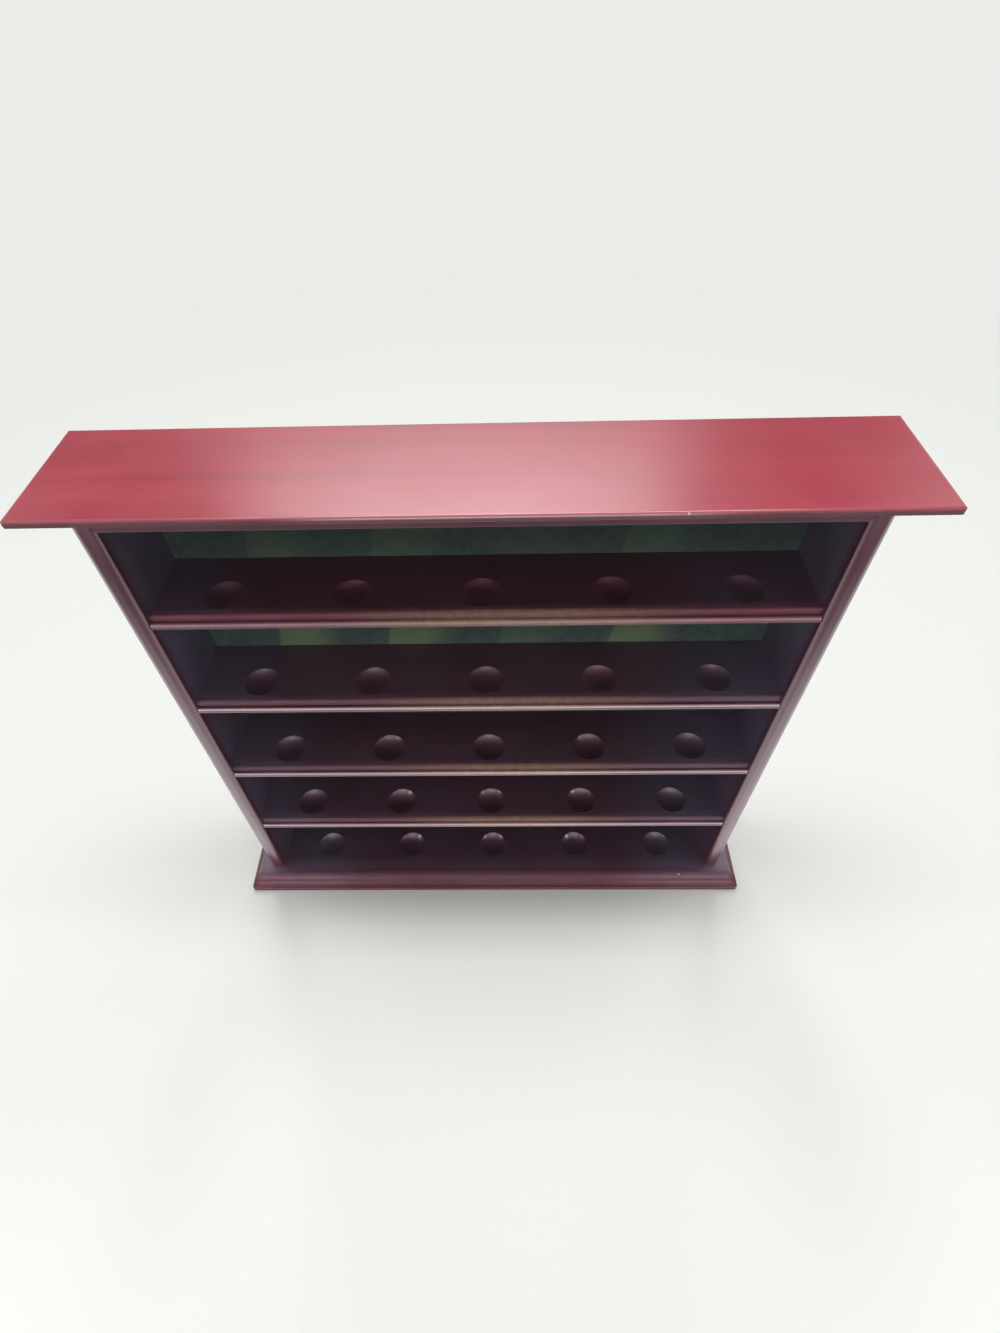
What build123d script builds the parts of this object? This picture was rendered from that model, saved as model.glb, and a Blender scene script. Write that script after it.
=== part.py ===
from build123d import *
import math
import os

# Golf ball display case: five open rows of ball seats between two sides, on a moulded base
# board and under an overhanging crown board, closed behind by a felt-lined panel.
#
# Frame: origin on the surface that the case stands on, at the middle of its overall width and
# depth. +X is the viewer's right, +Y the back, +Z up. All sizes are in millimetres.

# ---- Driving dimensions ----------------------------------------------------------------

BALL_DIAMETER = 42.7
SEATS_PER_ROW = 5
SEAT_PITCH = 50.8
ROW_PITCH = 53.9
TOP_ROW_HEIGHT = 42.9

INNER_WIDTH = 257.0
CASE_DEPTH = 42.0
SIDE_THICKNESS = 8.0
SHELF_THICKNESS = 6.2
TOP_PANEL_THICKNESS = 6.4
BASE_THICKNESS = 9.0
CROWN_THICKNESS = 7.5

END_OVERHANG = 11.5
CROWN_FRONT_OVERHANG = 12.0
BASE_FRONT_OVERHANG = 11.0

# Ball seats: shallow spherical dishes with a softened rim.
SEAT_DIAMETER = 15.8
SEAT_CUTTER_RADIUS = 12.7
SEAT_RIM_RADIUS = 0.4
BALL_BACK_CLEARANCE = 0.9

# Shelf nosing, from the bottom up: a bead, a quirk and a flat with a rounded top edge.
SHELF_SETBACK = 1.2
BEAD_RADIUS = 1.8
QUIRK_WIDTH = 0.4
NOSING_ARRIS = 1.5

# Ogee moulding of the base board, repeated upside down and wider on the crown board.
BASE_MOULDING = 7.0
CROWN_MOULDING = 9.0
LIP_STEP = 0.7
LIP_ARRIS = 0.4
BASE_LIP = 3.0
BASE_ARRIS = 0.5
CROWN_LIP = 2.6
CROWN_ARRIS = 1.2
BOARD_CORNER_RADIUS = 1.8

# Sides: rounded front edge, stopped housings for the shelves, rabbet for the back.
SIDE_FRONT_RADIUS = 3.0
SIDE_BACK_RADIUS = 0.8
HOUSING_DEPTH = 3.0
HOUSING_STOP = 5.0
RABBET_WIDTH = 4.0
TOP_PANEL_ARRIS = 0.5

# Back: hardboard panel with a felt sheet glued to its face.
BACK_RECESS = 1.5
BACK_PANEL_THICKNESS = 2.4
FELT_THICKNESS = 0.8
BACK_SIDE_GAP = 0.4

# Countersunk wood screws.
SCREW_DIAMETER = 3.0
SCREW_HEAD_DIAMETER = 6.0
SCREW_HEAD_HEIGHT = 1.8
SCREW_TIP = 2.0
RECESS_LENGTH = 3.2
RECESS_WIDTH = 0.8
RECESS_DEPTH = 1.1
CROWN_SCREW_LENGTH = 10.0
CROWN_SCREW_X = 92.0
BASE_SCREW_LENGTH = 28.0
SCREW_FROM_FRONT = 11.0
SCREW_FROM_BACK = 12.0

# Panel brads and hanger nails.
BRAD_DIAMETER = 1.2
BRAD_HEAD_DIAMETER = 2.8
BRAD_HEAD_HEIGHT = 0.5
BRAD_LENGTH = 12.0
BRADS_PER_SIDE = 6
BRAD_END_MARGIN = 26.0
SHELF_BRAD_X = 64.0
NAIL_DIAMETER = 1.4
NAIL_HEAD_DIAMETER = 3.2
NAIL_LENGTH = 12.0

# Sawtooth wall hangers.
HANGER_SPACING = 160.0
HANGER_LENGTH = 44.0
HANGER_HEIGHT = 9.0
HANGER_SHEET = 0.7
HANGER_LIFT = 0.7
HANGER_END = 7.0
HANGER_TEETH = 9
TOOTH_HEIGHT = 1.8
NAIL_FROM_END = 3.2
NAIL_FROM_TOP = 3.0

# ---- Derived places --------------------------------------------------------------------

HALF_INNER = INNER_WIDTH / 2
HALF_CASE = HALF_INNER + SIDE_THICKNESS
HALF_BOARD = HALF_CASE + END_OVERHANG

BACK_Y = (CASE_DEPTH + CROWN_FRONT_OVERHANG) / 2
FRONT_Y = BACK_Y - CASE_DEPTH
CROWN_FRONT_Y = FRONT_Y - CROWN_FRONT_OVERHANG
BASE_FRONT_Y = FRONT_Y - BASE_FRONT_OVERHANG
PANEL_BACK_Y = BACK_Y - BACK_RECESS
PANEL_FRONT_Y = PANEL_BACK_Y - BACK_PANEL_THICKNESS
FELT_FRONT_Y = PANEL_FRONT_Y - FELT_THICKNESS
SEAT_Y = FELT_FRONT_Y - BALL_BACK_CLEARANCE - BALL_DIAMETER / 2
HOUSING_FRONT_Y = FRONT_Y + HOUSING_STOP

SHELF_NAMES = ["bottom_shelf", "lower_shelf", "upper_shelf", "top_shelf"]
SHELF_TOPS = [BASE_THICKNESS + ROW_PITCH * row for row in range(1, len(SHELF_NAMES) + 1)]
TOP_PANEL_Z = SHELF_TOPS[-1] + TOP_ROW_HEIGHT
CROWN_Z = TOP_PANEL_Z + TOP_PANEL_THICKNESS
TOP_Z = CROWN_Z + CROWN_THICKNESS

HALF_PANEL = HALF_INNER + RABBET_WIDTH - BACK_SIDE_GAP
NAIL_Z = TOP_PANEL_Z + TOP_PANEL_THICKNESS / 2
HANGER_TOP_Z = NAIL_Z + NAIL_FROM_TOP


def block(x0, x1, y0, y1, z0, z1):
    """Box between two opposite corners."""
    centre = Pos((x0 + x1) / 2, (y0 + y1) / 2, (z0 + z1) / 2)
    return centre * Box(abs(x1 - x0), abs(y1 - y0), abs(z1 - z0))


# ---- Moulded boards --------------------------------------------------------------------


def ogee_edge(tip, inward, width, thickness, lip, arris):
    """Moulded edge of a board that lies wide face down, from its lower arris to its top face.

    The first coordinate runs across the edge from tip, inward being +1 or -1.
    """

    def at(run, height):
        return (tip + inward * run, height)

    rise = thickness - lip
    run = width - LIP_STEP
    middle = at(LIP_STEP + run / 2, lip + rise / 2)
    return [
        RadiusArc(at(arris, 0), at(0, arris), arris * inward),
        Line(at(0, arris), at(0, lip - LIP_ARRIS)),
        RadiusArc(at(0, lip - LIP_ARRIS), at(LIP_ARRIS, lip), LIP_ARRIS * inward),
        Line(at(LIP_ARRIS, lip), at(LIP_STEP, lip)),
        TangentArc(at(LIP_STEP, lip), middle, tangent=(inward, 0)),
        TangentArc(at(width, thickness), middle, tangent=(-inward, 0)),
    ]


def moulded_board(front_y, width, thickness, lip, arris):
    """Board with its front and both ends moulded, wide face down, square at the back."""
    front = ogee_edge(front_y, 1, width, thickness, lip, arris)
    front += [
        Line((front_y + width, thickness), (BACK_Y, thickness)),
        Line((BACK_Y, thickness), (BACK_Y, arris)),
        RadiusArc((BACK_Y, arris), (BACK_Y - arris, 0), arris),
        Line((BACK_Y - arris, 0), (front_y + arris, 0)),
    ]
    ends = ogee_edge(-HALF_BOARD, 1, width, thickness, lip, arris)
    ends += ogee_edge(HALF_BOARD, -1, width, thickness, lip, arris)
    ends += [
        Line((width - HALF_BOARD, thickness), (HALF_BOARD - width, thickness)),
        Line((arris - HALF_BOARD, 0), (HALF_BOARD - arris, 0)),
    ]
    long_bar = extrude(Plane.YZ * make_face(front), HALF_BOARD, both=True)
    reach = BACK_Y - front_y
    cross_bar = extrude(Plane.XZ * make_face(ends), reach, both=True)
    plan = RectangleRounded(2 * HALF_BOARD, BACK_Y - front_y, BOARD_CORNER_RADIUS)
    blank = Pos(0, (front_y + BACK_Y) / 2, 0) * extrude(plan, thickness)
    return long_bar & cross_bar & blank


# ---- Ball seats and shelves ------------------------------------------------------------


def seat_cutters(top_z):
    """Row of spheres that cut the seats into a board whose top face is at top_z."""
    rise = math.sqrt(SEAT_CUTTER_RADIUS**2 - (SEAT_DIAMETER / 2) ** 2)
    first = -SEAT_PITCH * (SEATS_PER_ROW - 1) / 2
    return [
        Pos(first + SEAT_PITCH * seat, SEAT_Y, top_z + rise) * Sphere(SEAT_CUTTER_RADIUS)
        for seat in range(SEATS_PER_ROW)
    ]


def cut_seats(board, top_z):
    """Cut the five seats and soften their rims."""
    board = board - seat_cutters(top_z)
    rims = [
        edge
        for edge in board.edges().filter_by(GeomType.CIRCLE)
        if abs(edge.radius - SEAT_DIAMETER / 2) < 0.05 and abs(edge.center().Z - top_z) < 0.01
    ]
    return fillet(rims, SEAT_RIM_RADIUS)


def shelf_section(top_z):
    """Section of a shelf from its nosing to the felt."""
    bottom_z = top_z - SHELF_THICKNESS
    nose_y = FRONT_Y + SHELF_SETBACK
    bead_y = nose_y + BEAD_RADIUS
    bead_top = bottom_z + 2 * BEAD_RADIUS
    step_y = bead_y + QUIRK_WIDTH
    section = make_face(
        [
            Line((FELT_FRONT_Y, bottom_z), (bead_y, bottom_z)),
            ThreePointArc((bead_y, bottom_z), (nose_y, bottom_z + BEAD_RADIUS), (bead_y, bead_top)),
            Line((bead_y, bead_top), (step_y, bead_top)),
            Line((step_y, bead_top), (step_y, top_z)),
            Line((step_y, top_z), (FELT_FRONT_Y, top_z)),
            Line((FELT_FRONT_Y, top_z), (FELT_FRONT_Y, bottom_z)),
        ]
    )
    corner = section.vertices().sort_by_distance((step_y, top_z))[0]
    return fillet(corner, NOSING_ARRIS)


def housed_tongues(bottom_z, top_z):
    """The two ends of a shelf that sit in the sides' housings."""
    reach = HALF_INNER + HOUSING_DEPTH
    return [
        block(side * HALF_INNER, side * reach, HOUSING_FRONT_Y, FELT_FRONT_Y, bottom_z, top_z)
        for side in (-1, 1)
    ]


def shelf(top_z):
    board = extrude(Plane.YZ * shelf_section(top_z), HALF_INNER, both=True)
    board = board + housed_tongues(top_z - SHELF_THICKNESS, top_z)
    return cut_seats(board, top_z)


def top_panel():
    """Board that closes the case under the crown, flush with the sides' front edges."""
    board = block(-HALF_INNER, HALF_INNER, FRONT_Y, FELT_FRONT_Y, TOP_PANEL_Z, CROWN_Z)
    lower_arris = board.edges().filter_by(Axis.X).group_by(Axis.Y)[0].sort_by(Axis.Z)[0]
    board = fillet(lower_arris, TOP_PANEL_ARRIS)
    return board + housed_tongues(TOP_PANEL_Z, CROWN_Z)


# ---- Sides -----------------------------------------------------------------------------


def right_side():
    """Upright with a rounded front edge, a back rabbet and stopped housings."""
    board = block(HALF_INNER, HALF_CASE, FRONT_Y, BACK_Y, BASE_THICKNESS, CROWN_Z)
    board = fillet(board.edges().filter_by(Axis.Z).group_by(Axis.Y)[0], SIDE_FRONT_RADIUS)
    back_edges = board.edges().filter_by(Axis.Z).group_by(Axis.Y)[-1]
    board = fillet(back_edges.sort_by(Axis.X)[-1], SIDE_BACK_RADIUS)
    rabbet_x = HALF_INNER + RABBET_WIDTH
    side = board - block(HALF_INNER, rabbet_x, FELT_FRONT_Y, BACK_Y, BASE_THICKNESS, CROWN_Z)
    levels = [(top - SHELF_THICKNESS, top) for top in SHELF_TOPS] + [(TOP_PANEL_Z, CROWN_Z)]
    reach = HALF_INNER + HOUSING_DEPTH
    for low, high in levels:
        side -= block(HALF_INNER, reach, HOUSING_FRONT_Y, FELT_FRONT_Y, low, high)
    return side


# ---- Back ------------------------------------------------------------------------------


def back_sheet(front_y, back_y):
    """Panel or felt, filling the rabbets between the base and the crown."""
    return block(-HALF_PANEL, HALF_PANEL, front_y, back_y, BASE_THICKNESS, CROWN_Z)


def sawtooth_hanger(centre_x):
    """Bent strip with flat nailed ends and a lifted middle, toothed along its lower edge."""
    half = HANGER_LENGTH / 2
    flat = half - HANGER_END
    ramp = flat - HANGER_LIFT
    low = PANEL_BACK_Y
    high = low + HANGER_LIFT
    plan = Polygon(
        (-half, low),
        (-flat, low),
        (-ramp, high),
        (ramp, high),
        (flat, low),
        (half, low),
        (half, low + HANGER_SHEET),
        (flat, low + HANGER_SHEET),
        (ramp, high + HANGER_SHEET),
        (-ramp, high + HANGER_SHEET),
        (-flat, low + HANGER_SHEET),
        (-half, low + HANGER_SHEET),
        align=None,
    )
    bottom_z = HANGER_TOP_Z - HANGER_HEIGHT
    strip = Pos(0, 0, bottom_z) * extrude(plan, HANGER_HEIGHT)
    pitch = 2 * ramp / HANGER_TEETH
    for tooth in range(HANGER_TEETH):
        x = -ramp + pitch * (tooth + 0.5)
        notch = Polygon(
            (x - pitch / 2, bottom_z),
            (x + pitch / 2, bottom_z),
            (x, bottom_z + TOOTH_HEIGHT),
            align=None,
        )
        reach = high + 2 * HANGER_SHEET
        strip -= extrude(Plane.XZ * notch, reach, both=True)
    return Pos(centre_x, 0, 0) * strip


# ---- Fasteners -------------------------------------------------------------------------


def screw(length, recessed=True):
    """Countersunk screw pointing up, the face of its head at z = 0."""
    head_r = SCREW_HEAD_DIAMETER / 2
    shank_r = SCREW_DIAMETER / 2
    up = (Align.CENTER, Align.CENTER, Align.MIN)
    body = Cone(head_r, shank_r, SCREW_HEAD_HEIGHT, align=up)
    shank_length = length - SCREW_HEAD_HEIGHT - SCREW_TIP
    body += Pos(0, 0, SCREW_HEAD_HEIGHT) * Cylinder(shank_r, shank_length, align=up)
    body += Pos(0, 0, length - SCREW_TIP) * Cone(shank_r, 0.2, SCREW_TIP, align=up)
    if recessed:
        body -= Box(RECESS_LENGTH, RECESS_WIDTH, RECESS_DEPTH, align=up)
        body -= Box(RECESS_WIDTH, RECESS_LENGTH, RECESS_DEPTH, align=up)
    return body


def nail(diameter, head_diameter, length):
    """Flat-headed nail pointing to the front (-Y), the underside of its head at y = 0."""
    up = (Align.CENTER, Align.CENTER, Align.MIN)
    body = Pos(0, 0, -BRAD_HEAD_HEIGHT) * Cylinder(head_diameter / 2, BRAD_HEAD_HEIGHT, align=up)
    body += Cylinder(diameter / 2, length - diameter, align=up)
    body += Pos(0, 0, length - diameter) * Cone(diameter / 2, 0.1, diameter, align=up)
    return Rot(90, 0, 0) * body


def group(shape, places):
    """Copies of one shape at several places, kept as separate solids."""
    return [Pos(*place) * shape for place in places]


SCREW_YS = [FRONT_Y + SCREW_FROM_FRONT, BACK_Y - SCREW_FROM_BACK]
CROWN_SCREW_PLACES = [(x, y, TOP_PANEL_Z) for x in (-CROWN_SCREW_X, CROWN_SCREW_X) for y in SCREW_YS]
SIDE_MIDDLE_X = (HALF_INNER + HALF_CASE) / 2
BASE_SCREW_PLACES = [(x, y, 0) for x in (-SIDE_MIDDLE_X, SIDE_MIDDLE_X) for y in SCREW_YS]

RABBET_MIDDLE_X = HALF_INNER + RABBET_WIDTH / 2
BRAD_SPAN = CROWN_Z - BASE_THICKNESS - 2 * BRAD_END_MARGIN
BRAD_ZS = [
    BASE_THICKNESS + BRAD_END_MARGIN + BRAD_SPAN * brad / (BRADS_PER_SIDE - 1)
    for brad in range(BRADS_PER_SIDE)
]
BRAD_PLACES = [(x, PANEL_BACK_Y, z) for x in (-RABBET_MIDDLE_X, RABBET_MIDDLE_X) for z in BRAD_ZS]
BRAD_PLACES += [
    (x, PANEL_BACK_Y, top - SHELF_THICKNESS / 2)
    for x in (-SHELF_BRAD_X, SHELF_BRAD_X)
    for top in SHELF_TOPS
]
BRAD_PLACES += [(0, PANEL_BACK_Y, NAIL_Z)]

HANGER_XS = [-HANGER_SPACING / 2, HANGER_SPACING / 2]
NAIL_OFFSET = HANGER_LENGTH / 2 - NAIL_FROM_END
NAIL_PLACES = [
    (x + end * NAIL_OFFSET, PANEL_BACK_Y + HANGER_SHEET, NAIL_Z)
    for x in HANGER_XS
    for end in (-1, 1)
]

# ---- Assembly --------------------------------------------------------------------------

crown_screws = group(screw(CROWN_SCREW_LENGTH), CROWN_SCREW_PLACES)
base_screws = group(screw(BASE_SCREW_LENGTH), BASE_SCREW_PLACES)
brads = group(nail(BRAD_DIAMETER, BRAD_HEAD_DIAMETER, BRAD_LENGTH), BRAD_PLACES)
nails = group(nail(NAIL_DIAMETER, NAIL_HEAD_DIAMETER, NAIL_LENGTH), NAIL_PLACES)

crown_holes = group(screw(CROWN_SCREW_LENGTH, recessed=False), CROWN_SCREW_PLACES)
base_holes = group(screw(BASE_SCREW_LENGTH, recessed=False), BASE_SCREW_PLACES)

base = moulded_board(BASE_FRONT_Y, BASE_MOULDING, BASE_THICKNESS, BASE_LIP, BASE_ARRIS)
base = cut_seats(base, BASE_THICKNESS) - base_holes

crown = moulded_board(CROWN_FRONT_Y, CROWN_MOULDING, CROWN_THICKNESS, CROWN_LIP, CROWN_ARRIS)
crown = Pos(0, 0, TOP_Z) * mirror(crown, about=Plane.XY) - crown_holes

right = right_side() - base_holes - brads
left = mirror(right_side(), about=Plane.YZ) - base_holes - brads

parts = {
    "crown_board": crown,
    "top_panel": top_panel() - crown_holes - brads - nails,
    "left_side": left,
    "right_side": right,
    "base_board": base,
    "back_panel": back_sheet(PANEL_FRONT_Y, PANEL_BACK_Y) - brads - nails,
    "felt_lining": back_sheet(FELT_FRONT_Y, PANEL_FRONT_Y) - brads - nails,
    "crown_screws": Compound(crown_screws),
    "base_screws": Compound(base_screws),
    "back_brads": Compound(brads),
    "wall_hangers": Compound([sawtooth_hanger(x) - nails for x in HANGER_XS]),
    "hanger_nails": Compound(nails),
}
for name, top_z in zip(SHELF_NAMES, SHELF_TOPS):
    parts[name] = shelf(top_z) - brads

os.makedirs("parts", exist_ok=True)
for name, part in parts.items():
    export_step(part, f"parts/{name}.step")
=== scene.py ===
import math

import bmesh
import bpy
from mathutils import Matrix, Vector, noise


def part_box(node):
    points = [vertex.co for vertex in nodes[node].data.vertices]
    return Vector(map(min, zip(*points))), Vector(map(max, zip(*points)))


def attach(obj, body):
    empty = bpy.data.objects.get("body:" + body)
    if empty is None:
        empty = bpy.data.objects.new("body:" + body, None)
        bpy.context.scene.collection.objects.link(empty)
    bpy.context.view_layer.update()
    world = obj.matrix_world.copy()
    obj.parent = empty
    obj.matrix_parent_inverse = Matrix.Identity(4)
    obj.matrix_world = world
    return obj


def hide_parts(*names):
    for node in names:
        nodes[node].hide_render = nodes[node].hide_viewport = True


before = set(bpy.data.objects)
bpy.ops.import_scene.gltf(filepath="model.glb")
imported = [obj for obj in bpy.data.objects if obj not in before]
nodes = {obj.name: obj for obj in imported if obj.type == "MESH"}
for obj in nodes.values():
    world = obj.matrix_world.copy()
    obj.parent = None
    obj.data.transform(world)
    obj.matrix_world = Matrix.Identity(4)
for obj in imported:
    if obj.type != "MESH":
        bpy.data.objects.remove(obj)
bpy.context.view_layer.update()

MM = 0.001

# ---- Camera ----------------------------------------------------------------------------

SENSOR_WIDTH_MM = 36.0
LENS_MM = 18.667
CAMERA_PLACE = Vector((8.508, -198.573, 410.472)) * MM
CAMERA_YAW_DEG = -2.118
CAMERA_PITCH_DEG = 49.264
CAMERA_ROLL_DEG = -2.160
CAMERA_SHIFT = 0.0089


def aim(yaw_deg, pitch_deg, roll_deg):
    """Rotation of a camera turned from +Y by yaw towards +X, dipped by pitch, then rolled."""
    yaw, pitch, roll = (math.radians(angle) for angle in (yaw_deg, pitch_deg, roll_deg))
    level = math.cos(pitch)
    forward = Vector((math.sin(yaw) * level, math.cos(yaw) * level, -math.sin(pitch)))
    level_right = Vector((math.cos(yaw), -math.sin(yaw), 0))
    level_up = level_right.cross(forward)
    right = level_right * math.cos(roll) + level_up * math.sin(roll)
    up = level_up * math.cos(roll) - level_right * math.sin(roll)
    return Matrix((right, up, -forward)).transposed().to_4x4()


def make_camera():
    data = bpy.data.cameras.new("camera")
    data.sensor_width = SENSOR_WIDTH_MM
    data.lens = LENS_MM
    data.shift_x = CAMERA_SHIFT
    data.clip_start = 0.01
    camera = bpy.data.objects.new("camera", data)
    turn = aim(CAMERA_YAW_DEG, CAMERA_PITCH_DEG, CAMERA_ROLL_DEG)
    camera.matrix_world = Matrix.Translation(CAMERA_PLACE) @ turn
    bpy.context.scene.collection.objects.link(camera)
    bpy.context.scene.camera = camera


# ---- Node trees ------------------------------------------------------------------------


class Wire:
    """A node's output socket. Arithmetic on it adds Math nodes."""

    def __init__(self, graph, socket):
        self.graph = graph
        self.socket = socket

    def out(self, name):
        """Another output of the same node."""
        return Wire(self.graph, self.socket.node.outputs[name])

    def __add__(self, other):
        return self.graph.math("ADD", self, other)

    def __sub__(self, other):
        return self.graph.math("SUBTRACT", self, other)

    def __rsub__(self, other):
        return self.graph.math("SUBTRACT", other, self)

    def __mul__(self, other):
        return self.graph.math("MULTIPLY", self, other)

    def __truediv__(self, other):
        return self.graph.math("DIVIDE", self, other)

    def __rtruediv__(self, other):
        return self.graph.math("DIVIDE", other, self)

    def __abs__(self):
        return self.graph.math("ABSOLUTE", self)

    __radd__ = __add__
    __rmul__ = __mul__


class Graph:
    """The node tree of one material or of the world."""

    def __init__(self, tree):
        self.tree = tree
        tree.nodes.clear()

    def node(self, kind, settings=None, inputs=None, output=0):
        """Add a node: its settings first, then the values or wires of its sockets."""
        node = self.tree.nodes.new(kind)
        for name, value in (settings or {}).items():
            setattr(node, name, value)
        for name, value in (inputs or {}).items():
            if isinstance(value, Wire):
                self.tree.links.new(value.socket, node.inputs[name])
            else:
                node.inputs[name].default_value = value
        return Wire(self, node.outputs[output]) if node.outputs else None

    def place(self):
        """Position on the object, in metres; its own frame is the frame of the whole case."""
        return self.node("ShaderNodeTexCoord").out("Object")

    def parts(self, vector):
        """The three components of a vector."""
        split = self.node("ShaderNodeSeparateXYZ", None, {0: vector})
        return split.out("X"), split.out("Y"), split.out("Z")

    def math(self, operation, *values):
        return self.node("ShaderNodeMath", {"operation": operation}, dict(enumerate(values)))

    def vector(self, operation, *values):
        return self.node("ShaderNodeVectorMath", {"operation": operation}, dict(enumerate(values)))

    def distance(self, first, second):
        return self.vector("DISTANCE", first, second).out("Value")

    def noise(self, vector, scale, detail=2.0, roughness=0.5, distortion=0.0):
        sockets = {
            "Vector": vector,
            "Scale": scale,
            "Detail": detail,
            "Roughness": roughness,
            "Distortion": distortion,
        }
        return self.node("ShaderNodeTexNoise", None, sockets)

    def ramp(self, value, start, end, at_start=0.0, at_end=1.0):
        """Smooth step: at_start where the value is at start or short of it, at_end from end on."""
        sockets = {
            "Value": value,
            "From Min": start,
            "From Max": end,
            "To Min": at_start,
            "To Max": at_end,
        }
        return self.node("ShaderNodeMapRange", {"interpolation_type": "SMOOTHSTEP"}, sockets)

    def mix(self, factor, first, second):
        """The first colour, turning to the second as the factor rises to 1."""
        sockets = {0: factor, 6: first, 7: second}
        return self.node("ShaderNodeMix", {"data_type": "RGBA"}, sockets, output=2)

    def either(self, factor, first, second):
        """The first shader, turning to the second as the factor rises to 1."""
        return self.node("ShaderNodeMixShader", None, {0: factor, 1: first, 2: second})

    def bump(self, height, distance, strength=1.0, normal=None):
        sockets = {"Height": height, "Distance": distance, "Strength": strength}
        if normal:
            sockets["Normal"] = normal
        return self.node("ShaderNodeBump", None, sockets)


def rgb(red, green, blue):
    return (red, green, blue, 1.0)


def material(name):
    """New material and the graph of its nodes."""
    made = bpy.data.materials.new(name)
    made.use_nodes = True
    return made, Graph(made.node_tree)


def surface(graph, **sockets):
    """Principled shader on the surface; a socket's name is written with _ for each space."""
    inputs = {name.replace("_", " "): value for name, value in sockets.items()}
    shader = graph.node("ShaderNodeBsdfPrincipled", None, inputs)
    graph.node("ShaderNodeOutputMaterial", None, {"Surface": shader})


# ---- Finishes --------------------------------------------------------------------------

# Lacquered cherry: dark, middle and pale shade of the figure, as a darker copy painted as shade for
# most of the case and a lighter copy painted as lit for the crown's top.
CHERRY = (rgb(0.070, 0.007, 0.017), rgb(0.089, 0.011, 0.025), rgb(0.106, 0.016, 0.033))
LIT_CHERRY = (rgb(0.270, 0.009, 0.026), rgb(0.330, 0.013, 0.035), rgb(0.370, 0.024, 0.048))
PORE = rgb(0.080, 0.005, 0.010)
# Painted shade: the near-black that dulled edges and seat dishes are darkened towards.
PAINTED_SHADE = rgb(0.030, 0.003, 0.006)
# Painted warm reflection along the middle of the shelf nosings.
WARM_GLINT = rgb(0.450, 0.265, 0.190)
BARE_WOOD = rgb(0.70, 0.56, 0.44)
# Painted glare: a bluish veil laid over the colour where shade falls.
PAINTED_GLARE = rgb(0.25, 0.30, 0.44)
# Tint of the highlights of the lacquer: pinkish on the case, cooler on the crown.
PINKISH = rgb(1.0, 0.80, 0.92)
CYANISH = rgb(0.85, 0.95, 1.0)

SATIN = 0.31
SMUDGED = 0.08
# How much dulled lacquer roughens, and how far it is painted darker as shade.
DULLED, DULL_PAINTED_SHADE = 0.40, 0.45
# Gloss of the seat dishes, the painted shade in them, and how much of the painted glare they are
# cleared of.
SEAT_GLOSS, SEAT_PAINTED_SHADE, SEAT_CLEARING = 0.85, 0.3, 0.45
RUBBED_ROUGHER, BARE_ROUGHER = 0.12, 0.3

# Places on the case that its finishes follow. A pair is where a mask starts and is full.
SEAT_PITCH = 50.8 * MM
SEAT_RIM = (8.0 * MM, 7.5 * MM)
ROW_PITCH = 53.9 * MM
FIRST_ROW_Z = 9.0 * MM
TOP_SHELF_Z = (200 * MM, 215 * MM)
CROWN_FACE_Z = (280.3 * MM, 281.3 * MM)
CROWN_EDGE_Z = (281.3 * MM, 280.8 * MM)
BASE_EDGE_Y = (-17.5 * MM, -18.5 * MM)
BASE_FOOT_Z = (2.4 * MM, 1.2 * MM)
NOSING_STEP_Y = (-11.9 * MM, -11.7 * MM)
NOSING_TOP_Y = (-9.6 * MM, -7.5 * MM)
SIDE_INSIDE_X = (129.0 * MM, 128.4 * MM)
CROWN_CHIPS = [
    ((-30.5, 26.5, 281.2), 0.35),
    ((64.8, -26.9, 280.9), 0.35),
    ((3.0, 26.6, 281.2), 0.25),
]
BASE_CHIPS = [((112.4, -20.2, 8.6), 0.6)]


def grain_space(graph, place, axis, along, across):
    """Position stretched along the grain: features are 1/along long and 1/across wide."""
    stretch = [across, across, across]
    stretch[axis] = along
    return graph.vector("MULTIPLY", place, stretch)


def cherry_tone(graph, tone, shades):
    """Colour of the lacquered wood: dark, middle and pale shade in turn as the figure rises."""
    dark, middle, pale = shades
    color = graph.mix(graph.ramp(tone, 0.36, 0.52), dark, middle)
    return graph.mix(graph.ramp(tone, 0.50, 0.68), color, pale)


def bare_marks(graph, chips):
    """Ragged little marks where the lacquer is off; chips are (place, radius) in mm."""
    ragged = graph.noise(graph.place(), 1500.0, 3.0, 0.6) * 1.1 * MM
    bare = None
    for spot, radius in chips:
        reach = graph.distance(graph.place(), [value * MM for value in spot]) + ragged
        mark = graph.ramp(reach, (radius + 0.35) * MM, (radius + 0.75) * MM, 1.0, 0.0)
        bare = mark if bare is None else graph.math("MAXIMUM", bare, mark)
    return bare


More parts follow.
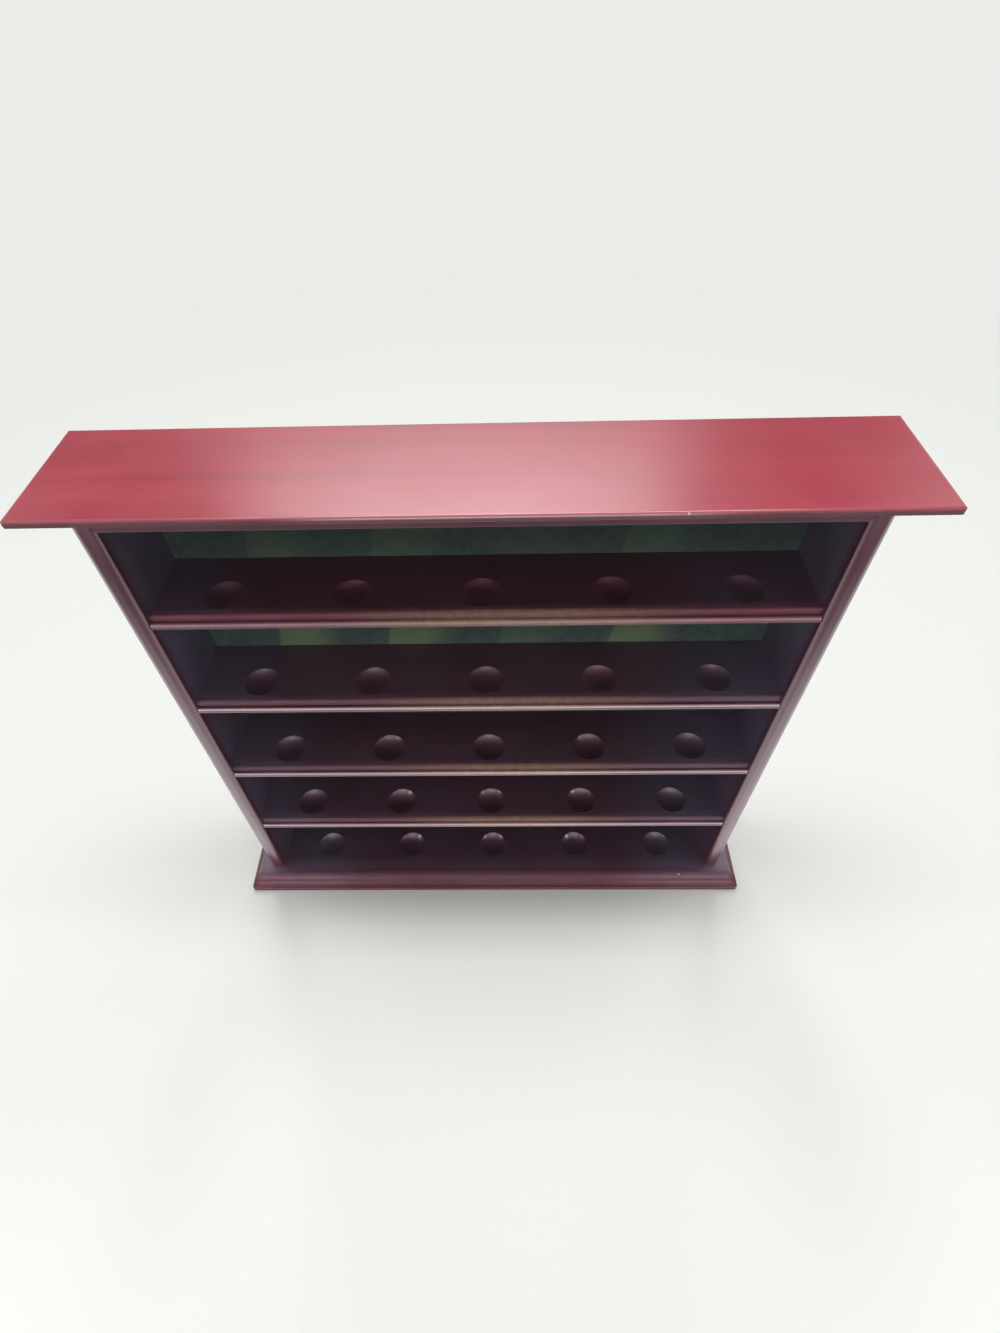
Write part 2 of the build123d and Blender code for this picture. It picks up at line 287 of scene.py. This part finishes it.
def cherry_lacquer(
    name,
    axis,
    shift,
    coat,
    tint=PINKISH,
    chips=(),
    painted_lit=None,
    dull=None,
    seats=None,
    glare=None,
    rub_and_glint=None,
):
    """Satin cherry lacquer over fine wood, whose grain runs along an axis.

    shift gives each board its own figure, and coat is how much clear gloss it has. Without
    faded, the colour is the darker copy, painted as shade. The masks are functions of the
    graph: faded takes a lighter copy of the colour, painted as lit; dull has lost its gloss
    and is painted darker as shade; seats keeps the gloss and is painted darker as shade in
    the dishes; haze gets a painted bluish veil of glare over its shade; and rub is rubbed
    rougher and painted paler as a warm reflection.
    """
    made, graph = material(name)
    place = graph.vector("ADD", graph.place(), shift)

    figure = graph.noise(grain_space(graph, place, axis, 5.0, 95.0), 1.0, 4.0, 0.55, 0.4)
    fibre = graph.noise(grain_space(graph, place, axis, 30.0, 900.0), 1.0, 3.0, 0.6)
    specks = graph.noise(grain_space(graph, place, axis, 110.0, 2600.0), 1.0, 1.0, 0.5)
    pores = graph.ramp(specks, 0.66, 0.74)
    cloud = graph.noise(place, 14.0, 2.0, 0.5)
    tone = figure * 0.55 + fibre * 0.2 + cloud * 0.25

    color = cherry_tone(graph, tone, CHERRY)
    # Painted light: where this mask is full, the colour is the lighter copy, as lit.
    if painted_lit:
        color = graph.mix(painted_lit(graph), color, cherry_tone(graph, tone, LIT_CHERRY))
    color = graph.mix(pores * 0.35, color, PORE)
    smudge = graph.noise(place, 38.0, 4.0, 0.62, 0.6)
    rough = SATIN + graph.ramp(smudge, 0.35, 0.75) * SMUDGED
    gloss = coat
    if dull:
        flat = dull(graph)
        rough = rough + flat * DULLED
        gloss = graph.math("MAXIMUM", 1 - flat, 0.0) * coat
        # Painted shade on the dulled places.
        color = graph.mix(flat * DULL_PAINTED_SHADE, color, PAINTED_SHADE)
    if seats:
        dish = seats(graph)
        gloss = graph.math("MAXIMUM", gloss, dish * SEAT_GLOSS)
        # Painted shade in the recessed seat dishes.
        color = graph.mix(dish * SEAT_PAINTED_SHADE, color, PAINTED_SHADE)
    if glare:
        # Painted glare: a patchy bluish veil over the shaded colour.
        glare_veil = graph.ramp(graph.noise(place, 24.0, 3.0, 0.6), 0.30, 0.70, 0.75, 1.0)
        if seats:
            glare_veil = glare_veil * (1 - SEAT_CLEARING * dish)
        color = graph.mix(glare_veil * glare(graph), color, PAINTED_GLARE)
    if rub_and_glint:
        worn_and_glint = rub_and_glint(graph)
        patchy = graph.ramp(graph.noise(place, 260.0, 4.0, 0.65), 0.38, 0.62)
        worn_and_glint = worn_and_glint * (0.75 + 0.25 * patchy)
        # Painted warm reflection; the roughening below is the rubbed lacquer.
        color = graph.mix(worn_and_glint, color, WARM_GLINT)
        rough = rough + worn_and_glint * RUBBED_ROUGHER
    if chips:
        bare = bare_marks(graph, chips)
        color = graph.mix(bare, color, BARE_WOOD)
        rough = rough + bare * BARE_ROUGHER

    peel = graph.noise(place, 420.0, 2.0, 0.5)
    normal = graph.bump(fibre * 0.6 + figure * 0.4 - pores * 0.5, 0.02 * MM, 0.8)
    normal = graph.bump(peel, 0.04 * MM, 0.6, normal)
    surface(
        graph,
        Base_Color=color,
        Roughness=rough,
        Normal=normal,
        IOR=1.5,
        Specular_IOR_Level=0.7,
        Specular_Tint=tint,
        Coat_Weight=gloss,
        Coat_Roughness=0.17,
        Coat_IOR=1.5,
    )
    return made


FELT_DARK, FELT_PALE = rgb(0.078, 0.115, 0.110), rgb(0.108, 0.160, 0.150)
# Painted shade: the felt in the low rows and in the top row under the crown.
FELT_LOW_SHADE, FELT_TOP_SHADE = rgb(0.030, 0.036, 0.042), rgb(0.012, 0.015, 0.012)
FELT_LIT_BAND, FELT_FIBRE = rgb(0.215, 0.310, 0.175), rgb(0.20, 0.27, 0.18)
FELT_LOW_Z = (150 * MM, 135 * MM)
FELT_HIGH_Z = (215 * MM, 235 * MM)
# Painted light: paler leaning bands on the felt.
LIT_BAND_PITCH = 51.4 * MM
LIT_BAND_START_X = -96.5 * MM
LIT_BAND_LEAN = 0.2
LIT_BAND_WANDER = 4.0 * MM
# The bands end at the sides, are fainter right of the middle, and faint in the top row.
LIT_BAND_LEFT_X = (-108 * MM, -100 * MM)
LIT_BAND_RIGHT_X = (95 * MM, 85 * MM)
FAINT_BAND_X = 22 * MM
FAINT_BAND_REACH = (18 * MM, 34 * MM)
FAINT_ROW_Z = (205 * MM, 220 * MM)


def painted_light_bands(graph, x, z):
    """Leaning paler bands of painted light on the felt."""
    cloud = graph.noise(graph.place(), 9.0, 2.0, 0.5)
    rise = graph.math("FLOORED_MODULO", z - FIRST_ROW_Z, ROW_PITCH) - 10 * MM
    leaning = x - rise * LIT_BAND_LEAN - LIT_BAND_START_X + (cloud - 0.5) * LIT_BAND_WANDER
    across = graph.math("FRACT", leaning / LIT_BAND_PITCH)
    bands = graph.ramp(across, 0.0, 0.03) * graph.ramp(across, 0.30, 0.62, 1.0, 0.0)
    bands = bands * graph.ramp(abs(x - FAINT_BAND_X), *FAINT_BAND_REACH, 0.35, 1.0)
    bands = bands * graph.ramp(x, *LIT_BAND_LEFT_X) * graph.ramp(x, *LIT_BAND_RIGHT_X)
    return bands * graph.ramp(z, *FAINT_ROW_Z, 1.0, 0.3)


def green_felt():
    """Matted wool felt: clumps and single fibres, with painted light in leaning paler bands, and
    painted shade in the low rows and the top row.
    """
    made, graph = material("green_felt")
    place = graph.place()
    x, y, z = graph.parts(place)
    matted = graph.noise(place, 850.0, 5.0, 0.7)
    clumps = graph.noise(place, 210.0, 3.0, 0.6)
    upright = graph.vector("MULTIPLY", place, (2600.0, 2600.0, 700.0))
    fibres = graph.noise(upright, 1.0, 3.0, 0.7, 1.5)
    low = graph.ramp(z, *FELT_LOW_Z)

    green = graph.mix(graph.ramp(matted * 0.5 + clumps * 0.5, 0.36, 0.64), FELT_DARK, FELT_PALE)
    # Painted shade in the low rows.
    green = graph.mix(low * 0.75, green, FELT_LOW_SHADE)
    # Painted light in leaning bands.
    green = graph.mix(painted_light_bands(graph, x, z) * (1 - low) * 0.85, green, FELT_LIT_BAND)
    green = graph.mix(graph.ramp(fibres, 0.60, 0.72) * 0.35, green, FELT_FIBRE)
    # Painted shade in the top row, under the crown.
    green = graph.mix(graph.ramp(z, *FELT_HIGH_Z) * 0.25, green, FELT_TOP_SHADE)
    normal = graph.bump(matted * 0.6 + fibres * 0.4, 0.35 * MM, 0.9)
    normal = graph.bump(clumps, 0.5 * MM, 0.5, normal)
    surface(
        graph,
        Base_Color=green,
        Roughness=0.95,
        Normal=normal,
        Specular_IOR_Level=0.03,
        Sheen_Weight=0.45,
        Sheen_Roughness=0.45,
        Sheen_Tint=rgb(0.75, 0.95, 0.78),
    )
    return made


BOARD_BROWN, BOARD_TAN = rgb(0.165, 0.088, 0.043), rgb(0.235, 0.135, 0.070)
BOARD_DARK_FLECK, BOARD_PALE_FLECK = rgb(0.085, 0.043, 0.022), rgb(0.32, 0.20, 0.11)
# Bright, dull and tarnished tone of each metal.
ZINC = (rgb(0.66, 0.67, 0.69), rgb(0.50, 0.51, 0.53), rgb(0.30, 0.29, 0.27))
BRASS = (rgb(0.78, 0.58, 0.24), rgb(0.62, 0.44, 0.17), rgb(0.30, 0.18, 0.07))


def hardboard():
    """Pressed fibre board: smooth brown face with darker flecks."""
    made, graph = material("hardboard")
    place = graph.place()
    cloud = graph.noise(place, 22.0, 3.0, 0.6)
    flecks = graph.noise(graph.vector("MULTIPLY", place, (520.0, 520.0, 900.0)), 1.0, 4.0, 0.7, 1.2)
    fine = graph.noise(place, 2400.0, 2.0, 0.6)
    color = graph.mix(graph.ramp(cloud, 0.35, 0.65), BOARD_BROWN, BOARD_TAN)
    color = graph.mix(graph.ramp(flecks, 0.56, 0.70) * 0.7, color, BOARD_DARK_FLECK)
    color = graph.mix(graph.ramp(flecks, 0.40, 0.28) * 0.5, color, BOARD_PALE_FLECK)
    rough = 0.52 + fine * 0.2
    normal = graph.bump(flecks * 0.6 + fine * 0.4, 0.06 * MM, 0.8)
    surface(graph, Base_Color=color, Roughness=rough, Normal=normal, Specular_IOR_Level=0.35)
    return made


def plated_metal(name, bright, dull, spots):
    """Plated steel or brass: fine drawing lines, cloudy plating and a few tarnished spots."""
    made, graph = material(name)
    place = graph.place()
    lines = graph.noise(graph.vector("MULTIPLY", place, (300.0, 5200.0, 5200.0)), 1.0, 2.0, 0.6)
    cloud = graph.noise(place, 330.0, 3.0, 0.6)
    tarnish = graph.ramp(graph.noise(place, 700.0, 4.0, 0.7), 0.60, 0.72)
    color = graph.mix(graph.ramp(cloud, 0.35, 0.65), bright, dull)
    color = graph.mix(tarnish * 0.5, color, spots)
    rough = 0.28 + cloud * 0.12 + tarnish * 0.25
    normal = graph.bump(lines, 0.01 * MM, 0.7)
    surface(graph, Base_Color=color, Metallic=1.0, Roughness=rough, Normal=normal)
    return made


def dress(names, made):
    """Give nodes of the case their material."""
    for name in names:
        mesh = nodes[name].data
        mesh.materials.clear()
        mesh.materials.append(made)


# ---- Where the lacquer is worn and dulled, and where light, shade and glare are painted ---


def seat_dishes(graph):
    """The round seats of the balls, one every SEAT_PITCH along the shelf: glossier, and painted
    darker as shade in their dishes.
    """
    x, y, z = graph.parts(graph.place())
    turns = x / SEAT_PITCH
    off = (turns - graph.math("ROUND", turns)) * SEAT_PITCH
    reach = graph.node("ShaderNodeCombineXYZ", None, {0: off, 1: y})
    return graph.ramp(graph.distance(reach, (0.0, 0.0, 0.0)), *SEAT_RIM)


def rubbed_and_glinting_nosing(graph):
    """Lacquer rubbed thin along the middle of a shelf's front, by balls going in and out, which
    roughens it; its paler colour is a painted warm reflection.
    """
    x, y, z = graph.parts(graph.place())
    middle = graph.ramp(abs(x - 12 * MM), 10 * MM, 80 * MM, 0.55, 0.0)
    return middle * graph.ramp(y, -10.2 * MM, -9.4 * MM, 1.0, 0.0)


def dull_and_shaded_shelf(graph):
    """The flat above a shelf's bead, a little the top, and the bead of the highest shelf: dulled,
    and painted darker as shade.
    """
    x, y, z = graph.parts(graph.place())
    flat = graph.ramp(y, *NOSING_STEP_Y) * graph.ramp(y, *NOSING_TOP_Y, 1.0, 0.25)
    bead = graph.ramp(z, *TOP_SHELF_Z, 0.0, 0.6) * graph.ramp(y, -11.4 * MM, -11.6 * MM)
    return graph.math("MAXIMUM", flat, bead)


def dull_and_shaded_crown(graph):
    """The crown's moulded edges below its top face, dulled and painted darker as shade, less so over
    a stretch in the middle where the highlight falls.
    """
    x, y, z = graph.parts(graph.place())
    spared_middle = graph.ramp(abs(x - 10 * MM), 40 * MM, 80 * MM, 0.3, 1.0)
    return graph.ramp(z, *CROWN_EDGE_Z) * spared_middle


def dull_and_shaded_base(graph):
    """The moulded front edge of the base, dulled and painted darker as shade, most of all in the
    middle and at its foot.
    """
    x, y, z = graph.parts(graph.place())
    foot = graph.ramp(z, *BASE_FOOT_Z, 0.85, 1.6)
    middle = graph.ramp(abs(x), 110 * MM, 60 * MM, 0.85, 1.15)
    return graph.ramp(y, *BASE_EDGE_Y) * graph.math("MAXIMUM", foot, middle)


def painted_lit_top(graph):
    """The crown's upper face, painted as lit with the lighter copy of the cherry colour."""
    x, y, z = graph.parts(graph.place())
    return graph.ramp(z, *CROWN_FACE_Z)


def glare_on_shelf(graph):
    """Painted glare on the upper face of a shelf, in its shade behind its nosing, most of all at its
    ends.
    """
    x, y, z = graph.parts(graph.place())
    ends = graph.ramp(abs(x + 10 * MM), 70 * MM, 115 * MM, 0.15, 0.36)
    ends = ends * graph.ramp(z, *TOP_SHELF_Z, 1.0, 0.6)
    behind = graph.ramp(y, -10.5 * MM, -8.0 * MM)
    behind = graph.math("MAXIMUM", behind, graph.ramp(z, *TOP_SHELF_Z, 0.5, 0.0))
    return graph.ramp(y, -12.0 * MM, -11.6 * MM) * behind * ends


def glare_on_side(graph):
    """Painted glare on the inner faces of the sides, in their shade, most of all under the crown."""
    x, y, z = graph.parts(graph.place())
    inner = graph.ramp(abs(x), *SIDE_INSIDE_X) * graph.ramp(y, -14.5 * MM, -8.0 * MM)
    return inner * graph.ramp(z, 50 * MM, 240 * MM, 0.36, 0.46)


def glare_on_base(graph):
    """Painted glare on the top of the base, most of all beside the sides, and less on its outer
    ends.
    """
    x, y, z = graph.parts(graph.place())
    beside = graph.ramp(abs(x), 70 * MM, 120 * MM, 0.19, 0.36)
    outer = graph.ramp(abs(x), 144 * MM, 141 * MM, 0.3, 1.0)
    return graph.ramp(y, -24 * MM, -12 * MM, 0.05, 1.0) * beside * outer


ALONG, UPRIGHT = 0, 2
crown_lacquer = cherry_lacquer(
    "crown_lacquer",
    ALONG,
    (0.31, 0.0, 0.0),
    0.9,
    tint=CYANISH,
    chips=CROWN_CHIPS,
    painted_lit=painted_lit_top,
    dull=dull_and_shaded_crown,
)
shelf_lacquer = cherry_lacquer(
    "shelf_lacquer",
    ALONG,
    (0.0, 0.4, 0.2),
    1.0,
    dull=dull_and_shaded_shelf,
    seats=seat_dishes,
    glare=glare_on_shelf,
    rub_and_glint=rubbed_and_glinting_nosing,
)
panel_lacquer = cherry_lacquer("panel_lacquer", ALONG, (0.2, 0.6, 0.1), 0.5, glare=glare_on_shelf)
base_lacquer = cherry_lacquer(
    "base_lacquer",
    ALONG,
    (0.7, 0.1, 0.0),
    0.5,
    chips=BASE_CHIPS,
    dull=dull_and_shaded_base,
    glare=glare_on_base,
)
side_lacquer = cherry_lacquer("side_lacquer", UPRIGHT, (0.0, 0.2, 0.5), 1.0, glare=glare_on_side)

dress(["crown_board"], crown_lacquer)
dress(["base_board"], base_lacquer)
dress(["left_side", "right_side"], side_lacquer)
dress(["top_panel"], panel_lacquer)
dress(["top_shelf", "upper_shelf", "lower_shelf", "bottom_shelf"], shelf_lacquer)
dress(["back_panel"], hardboard())
dress(["crown_screws", "base_screws", "back_brads"], plated_metal("zinc_steel", *ZINC))
dress(["wall_hangers", "hanger_nails"], plated_metal("brass_plate", *BRASS))


# ---- Felt lining -----------------------------------------------------------------------

FELT_CELL = 1.3 * MM
FELT_RELIEF = 0.22 * MM
FELT_ARRIS = 0.30 * MM


def felt_hollow(x, z):
    """How far the felt's face lies behind its highest point."""
    broad = noise.noise(Vector((x, 0, z)) * 60)
    fine = noise.noise(Vector((x, 0.5, z)) * 330)
    waves = broad * 0.6 + fine * 0.4
    return FELT_RELIEF * (0.5 + 0.5 * max(-1, min(1, waves)))


def felt_sheet():
    """The felt glued to the back panel, its face a little uneven, its cut edges soft."""
    low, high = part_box("felt_lining")
    columns = round((high[0] - low[0]) / FELT_CELL)
    rows = round((high[2] - low[2]) / FELT_CELL)
    mesh = bmesh.new()

    def grid(front):
        """Vertices of the front or the back, in rows from the bottom up."""
        lines = []
        for row in range(rows + 1):
            line = []
            for column in range(columns + 1):
                x = low[0] + (high[0] - low[0]) * column / columns
                z = low[2] + (high[2] - low[2]) * row / rows
                y = high[1]
                if front:
                    edge = min(row, column, rows - row, columns - column) == 0
                    y = low[1] + (FELT_ARRIS if edge else felt_hollow(x, z))
                line.append(mesh.verts.new((x, y, z)))
            lines.append(line)
        return lines

    face = grid(True)
    back = grid(False)
    for row in range(rows):
        for column in range(columns):
            corners = [(row, column), (row, column + 1), (row + 1, column + 1), (row + 1, column)]
            mesh.faces.new([face[r][c] for r, c in corners])
            mesh.faces.new([back[r][c] for r, c in reversed(corners)])
    border = [(0, column) for column in range(columns)]
    border += [(row, columns) for row in range(rows)]
    border += [(rows, column) for column in range(columns, 0, -1)]
    border += [(row, 0) for row in range(rows, 0, -1)]
    for (r0, c0), (r1, c1) in zip(border, border[1:] + border[:1]):
        mesh.faces.new([face[r0][c0], back[r0][c0], back[r1][c1], face[r1][c1]])
    bmesh.ops.recalc_face_normals(mesh, faces=mesh.faces)
    data = bpy.data.meshes.new("felt_sheet")
    mesh.to_mesh(data)
    mesh.free()
    data.shade_smooth()
    data.materials.append(green_felt())
    piece = bpy.data.objects.new("felt_sheet", data)
    bpy.context.scene.collection.objects.link(piece)
    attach(piece, "root")
    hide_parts("felt_lining")


felt_sheet()


# ---- Stage -----------------------------------------------------------------------------

# The pale floor under the case, before it, to either side of that, and everywhere else; the paler
# floor before the case is painted light that lifts its shadow.
FLOOR = rgb(0.745, 0.750, 0.735)
LIT_FRONT_FLOOR = rgb(0.960, 0.970, 0.940)
SIDE_FLOOR = rgb(0.770, 0.780, 0.755)
PALE_ROOM = rgb(0.835, 0.845, 0.815)
# The floor before the case as its gloss shows it, painted as a glow that only reflections see: near,
# a dim band, and far off.
NEAR_BAND = rgb(1.45, 1.40, 1.45)
DIM_FLOOR = rgb(0.14, 0.14, 0.15)
FAR_BAND = rgb(2.6, 2.6, 2.5)
# Where one gives way to the next, in metres: a pair is the start and the end of the change.
UNDER_Y = (-0.026, -0.055)
BEFORE_Y = (-0.12, -0.26)
BESIDE_X = (0.09, 0.17)
DIM_Y = (-0.15, -0.34)
MIRRORED_Y = (-0.02, -0.035)
NEAR_BAND_Y = (-0.35, -0.10)
FAR_BAND_Y = (-0.42, -0.60)
ROOM_REACH = (0.45, 1.2)
FLOOR_REACH = 14.0


def make_floor():
    """Pale floor, which fades into the room far off.

    The light that it throws on the case is dim in front, and its gloss shows the bands.
    """
    mesh = bpy.data.meshes.new("floor")
    reach = FLOOR_REACH
    corners = [(-reach, -reach, 0), (reach, -reach, 0), (reach, reach, 0), (-reach, reach, 0)]
    mesh.from_pydata(corners, [], [(0, 1, 2, 3)])
    floor = bpy.data.objects.new("floor", mesh)
    bpy.context.scene.collection.objects.link(floor)
    made, graph = material("pale_floor")
    place = graph.place()
    x, y, z = graph.parts(place)
    rays = graph.node("ShaderNodeLightPath")
    camera, glossy = rays.out("Is Camera Ray"), rays.out("Is Glossy Ray")
    seen = graph.math("MAXIMUM", camera, glossy)

    pale = graph.mix(graph.ramp(abs(x), *BESIDE_X), LIT_FRONT_FLOOR, SIDE_FLOOR)
    pale = graph.mix(graph.ramp(y, *BEFORE_Y), pale, PALE_ROOM)
    pale = graph.mix(graph.ramp(y, *UNDER_Y), FLOOR, pale)
    matt = {"Roughness": 0.9, "Specular IOR Level": 0.1}
    lit = graph.node("ShaderNodeBsdfPrincipled", None, {"Base Color": pale, **matt})
    dim = graph.node("ShaderNodeBsdfPrincipled", None, {"Base Color": DIM_FLOOR, **matt})
    plain = graph.node("ShaderNodeEmission", None, {"Color": PALE_ROOM})
    bands = graph.mix(graph.ramp(y, *NEAR_BAND_Y), DIM_FLOOR, NEAR_BAND)
    bands = graph.mix(graph.ramp(y, *FAR_BAND_Y), bands, FAR_BAND)
    # Painted reflection: the floor glows here for glossy rays only.
    bright = graph.node("ShaderNodeEmission", None, {"Color": bands})

    far = graph.ramp(graph.distance(place, (0.0, 0.0, 0.0)), *ROOM_REACH)
    in_front = graph.ramp(y, *DIM_Y)
    mirrored = graph.ramp(y, *MIRRORED_Y) * glossy * (1 - camera)
    shader = graph.either(far * seen, lit, plain)
    shader = graph.either(in_front * (1 - seen), shader, dim)
    shader = graph.either(mirrored, shader, bright)
    graph.node("ShaderNodeOutputMaterial", None, {"Surface": shader})
    mesh.materials.append(made)


def softbox(name, place, target, size, watts):
    """Rectangular lamp that faces its target and isn't seen itself."""
    data = bpy.data.lights.new(name, "AREA")
    data.shape = "RECTANGLE"
    data.size, data.size_y = size
    data.energy = watts
    lamp = bpy.data.objects.new(name, data)
    place = Vector(place)
    turn = (Vector(target) - place).to_track_quat("-Z", "Y").to_matrix().to_4x4()
    lamp.matrix_world = Matrix.Translation(place) @ turn
    lamp.visible_camera = False
    bpy.context.scene.collection.objects.link(lamp)


# Light of the room from the front, and what the back, the sides and the wall add to it.
FRONT_LEVEL = 0.44
BACK_LEVEL = -0.19
SIDES_LEVEL = 0.8
WALL_LEVEL = 5.2
WALL_TURN = 0.07
# What only gloss shows, with the middle of the arc and of the spots: radians round, height.
CARD_LEVEL = 7.0
ARC_LEVEL = 2.0
ARC_HEIGHT = 0.78
SPOT_LEVEL = 10.0
SPOT_TURN, SPOT_HEIGHT = 1.15, 0.62


def make_world():
    """Pale studio: a bright wall behind, paler sides, little light from the front.

    Gloss also shows a card low in front, an arc above it and two spots beside it.
    """
    world = bpy.data.worlds.new("world")
    world.use_nodes = True
    bpy.context.scene.world = world
    graph = Graph(world.node_tree)
    x, y, z = graph.parts(graph.node("ShaderNodeTexCoord").out("Generated"))
    from_back = abs(graph.math("ARCTAN2", x, y) + WALL_TURN)
    behind = graph.ramp(from_back, 2.1, 1.2)
    wall = graph.ramp(from_back, 0.43, 0.27) * graph.ramp(z, 0.44, 0.66)
    sides = graph.ramp(from_back, 0.60, 0.74)
    level = FRONT_LEVEL + behind * (SIDES_LEVEL * sides + WALL_LEVEL * wall + BACK_LEVEL)

    from_front = abs(graph.math("ARCTAN2", x, 0 - y))
    card = graph.ramp(from_front, 1.0, 0.8) * graph.ramp(z, -0.02, 0.04)
    card = card * graph.ramp(z, 0.62, 0.48)
    arc = graph.ramp(from_front, 0.8, 0.5) * graph.ramp(abs(z - ARC_HEIGHT), 0.16, 0.08)
    spots = graph.ramp(abs(from_front - SPOT_TURN), 0.22, 0.10)
    spots = spots * graph.ramp(abs(z - SPOT_HEIGHT), 0.14, 0.06)
    mirrored = CARD_LEVEL * card + ARC_LEVEL * arc + SPOT_LEVEL * spots

    rays = graph.node("ShaderNodeLightPath")
    camera, glossy = rays.out("Is Camera Ray"), rays.out("Is Glossy Ray")
    strength = camera + (1 - camera) * (level + mirrored * glossy)
    background = graph.node("ShaderNodeBackground", None, {"Color": PALE_ROOM, "Strength": strength})
    graph.node("ShaderNodeOutputWorld", None, {"Surface": background})


OVERHEAD_PLACE = (0, 0.02, 1.6)
OVERHEAD_SIZE = (1.2, 0.3)
OVERHEAD_WATTS = 11.5

make_camera()
make_floor()
make_world()
softbox("overhead", OVERHEAD_PLACE, (0, 0, 0), OVERHEAD_SIZE, OVERHEAD_WATTS)
bpy.context.scene.view_settings.view_transform = "Standard"
